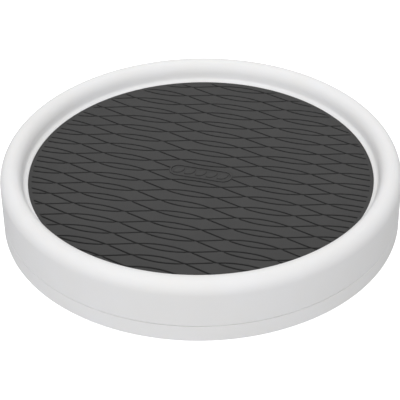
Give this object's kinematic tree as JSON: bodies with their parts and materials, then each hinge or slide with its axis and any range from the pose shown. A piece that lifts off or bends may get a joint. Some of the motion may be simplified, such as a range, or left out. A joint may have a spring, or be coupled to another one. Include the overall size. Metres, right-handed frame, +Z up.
{
  "type": "lazy susan turntable",
  "caption": "Low round turntable: a rimmed tray with a ribbed rubber mat turns on a caged ball race above a flat pan-shaped base on rubber feet.",
  "frame": {"origin": "on the spin axis, at the level of the surface that the feet stand on", "axes": "+Z up along the spin axis, towards the mat; +X towards the first ball and along the length of the mat's centre emblem; +Y completes a right-handed frame"},
  "size_m": [0.2286, 0.2286, 0.0393],
  "materials": {
    "white_plastic": "smooth white moulded plastic with a soft gloss",
    "mat_rubber": "dark grey soft rubber, matt, with moulded wavy grooves",
    "foot_rubber": "matt mid grey rubber",
    "cage_plastic": "natural unfilled plastic, waxy",
    "ball_steel": "polished bearing steel",
    "zinc_steel": "zinc plated steel"
  },
  "bodies": {
    "base": {"base": "white_plastic", "foot_1": "foot_rubber", "foot_2": "foot_rubber", "foot_3": "foot_rubber", "foot_4": "foot_rubber", "foot_5": "foot_rubber", "foot_6": "foot_rubber"},
    "tray": {"tray": "white_plastic", "mat": "mat_rubber", "pivot_screw": "zinc_steel", "pivot_washer": "zinc_steel"},
    "cage": {"ball_cage": "cage_plastic"},
    "ball_01": {"ball_01": "ball_steel"},
    "ball_02": {"ball_02": "ball_steel"},
    "ball_03": {"ball_03": "ball_steel"},
    "ball_04": {"ball_04": "ball_steel"},
    "ball_05": {"ball_05": "ball_steel"},
    "ball_06": {"ball_06": "ball_steel"},
    "ball_07": {"ball_07": "ball_steel"},
    "ball_08": {"ball_08": "ball_steel"},
    "ball_09": {"ball_09": "ball_steel"},
    "ball_10": {"ball_10": "ball_steel"},
    "ball_11": {"ball_11": "ball_steel"},
    "ball_12": {"ball_12": "ball_steel"},
    "ball_13": {"ball_13": "ball_steel"},
    "ball_14": {"ball_14": "ball_steel"},
    "ball_15": {"ball_15": "ball_steel"},
    "ball_16": {"ball_16": "ball_steel"}
  },
  "joints": [
    {"name": "tray_spin", "type": "hinge", "parent": "base", "child": "tray", "pos_m": [0, 0, 0.01435], "axis": [0, 0, 1], "continuous": true},
    {"name": "cage_spin", "type": "hinge", "parent": "base", "child": "cage", "pos_m": [0, 0, 0.01435], "axis": [0, 0, 1], "continuous": true},
    {"name": "ball_01_roll", "type": "hinge", "parent": "cage", "child": "ball_01", "pos_m": [0.07, 0, 0.01435], "axis": [1, 0, 0], "continuous": true},
    {"name": "ball_02_roll", "type": "hinge", "parent": "cage", "child": "ball_02", "pos_m": [0.06467, 0.02679, 0.01435], "axis": [0.9239, 0.3827, 0], "continuous": true},
    {"name": "ball_03_roll", "type": "hinge", "parent": "cage", "child": "ball_03", "pos_m": [0.0495, 0.0495, 0.01435], "axis": [0.7071, 0.7071, 0], "continuous": true},
    {"name": "ball_04_roll", "type": "hinge", "parent": "cage", "child": "ball_04", "pos_m": [0.02679, 0.06467, 0.01435], "axis": [0.3827, 0.9239, 0], "continuous": true},
    {"name": "ball_05_roll", "type": "hinge", "parent": "cage", "child": "ball_05", "pos_m": [0, 0.07, 0.01435], "axis": [0, 1, 0], "continuous": true},
    {"name": "ball_06_roll", "type": "hinge", "parent": "cage", "child": "ball_06", "pos_m": [-0.02679, 0.06467, 0.01435], "axis": [-0.3827, 0.9239, 0], "continuous": true},
    {"name": "ball_07_roll", "type": "hinge", "parent": "cage", "child": "ball_07", "pos_m": [-0.0495, 0.0495, 0.01435], "axis": [-0.7071, 0.7071, 0], "continuous": true},
    {"name": "ball_08_roll", "type": "hinge", "parent": "cage", "child": "ball_08", "pos_m": [-0.06467, 0.02679, 0.01435], "axis": [-0.9239, 0.3827, 0], "continuous": true},
    {"name": "ball_09_roll", "type": "hinge", "parent": "cage", "child": "ball_09", "pos_m": [-0.07, 0, 0.01435], "axis": [-1, 0, 0], "continuous": true},
    {"name": "ball_10_roll", "type": "hinge", "parent": "cage", "child": "ball_10", "pos_m": [-0.06467, -0.02679, 0.01435], "axis": [-0.9239, -0.3827, 0], "continuous": true},
    {"name": "ball_11_roll", "type": "hinge", "parent": "cage", "child": "ball_11", "pos_m": [-0.0495, -0.0495, 0.01435], "axis": [-0.7071, -0.7071, 0], "continuous": true},
    {"name": "ball_12_roll", "type": "hinge", "parent": "cage", "child": "ball_12", "pos_m": [-0.02679, -0.06467, 0.01435], "axis": [-0.3827, -0.9239, 0], "continuous": true},
    {"name": "ball_13_roll", "type": "hinge", "parent": "cage", "child": "ball_13", "pos_m": [0, -0.07, 0.01435], "axis": [0, -1, 0], "continuous": true},
    {"name": "ball_14_roll", "type": "hinge", "parent": "cage", "child": "ball_14", "pos_m": [0.02679, -0.06467, 0.01435], "axis": [0.3827, -0.9239, 0], "continuous": true},
    {"name": "ball_15_roll", "type": "hinge", "parent": "cage", "child": "ball_15", "pos_m": [0.0495, -0.0495, 0.01435], "axis": [0.7071, -0.7071, 0], "continuous": true},
    {"name": "ball_16_roll", "type": "hinge", "parent": "cage", "child": "ball_16", "pos_m": [0.06467, -0.02679, 0.01435], "axis": [0.9239, -0.3827, 0], "continuous": true}
  ],
  "couplings": [
    {"joint": "cage_spin", "follows": "tray_spin", "ratio": 0.5},
    {"joint": "ball_01_roll", "follows": "tray_spin", "ratio": -11.024},
    {"joint": "ball_02_roll", "follows": "tray_spin", "ratio": -11.024},
    {"joint": "ball_03_roll", "follows": "tray_spin", "ratio": -11.024},
    {"joint": "ball_04_roll", "follows": "tray_spin", "ratio": -11.024},
    {"joint": "ball_05_roll", "follows": "tray_spin", "ratio": -11.024},
    {"joint": "ball_06_roll", "follows": "tray_spin", "ratio": -11.024},
    {"joint": "ball_07_roll", "follows": "tray_spin", "ratio": -11.024},
    {"joint": "ball_08_roll", "follows": "tray_spin", "ratio": -11.024},
    {"joint": "ball_09_roll", "follows": "tray_spin", "ratio": -11.024},
    {"joint": "ball_10_roll", "follows": "tray_spin", "ratio": -11.024},
    {"joint": "ball_11_roll", "follows": "tray_spin", "ratio": -11.024},
    {"joint": "ball_12_roll", "follows": "tray_spin", "ratio": -11.024},
    {"joint": "ball_13_roll", "follows": "tray_spin", "ratio": -11.024},
    {"joint": "ball_14_roll", "follows": "tray_spin", "ratio": -11.024},
    {"joint": "ball_15_roll", "follows": "tray_spin", "ratio": -11.024},
    {"joint": "ball_16_roll", "follows": "tray_spin", "ratio": -11.024}
  ]
}
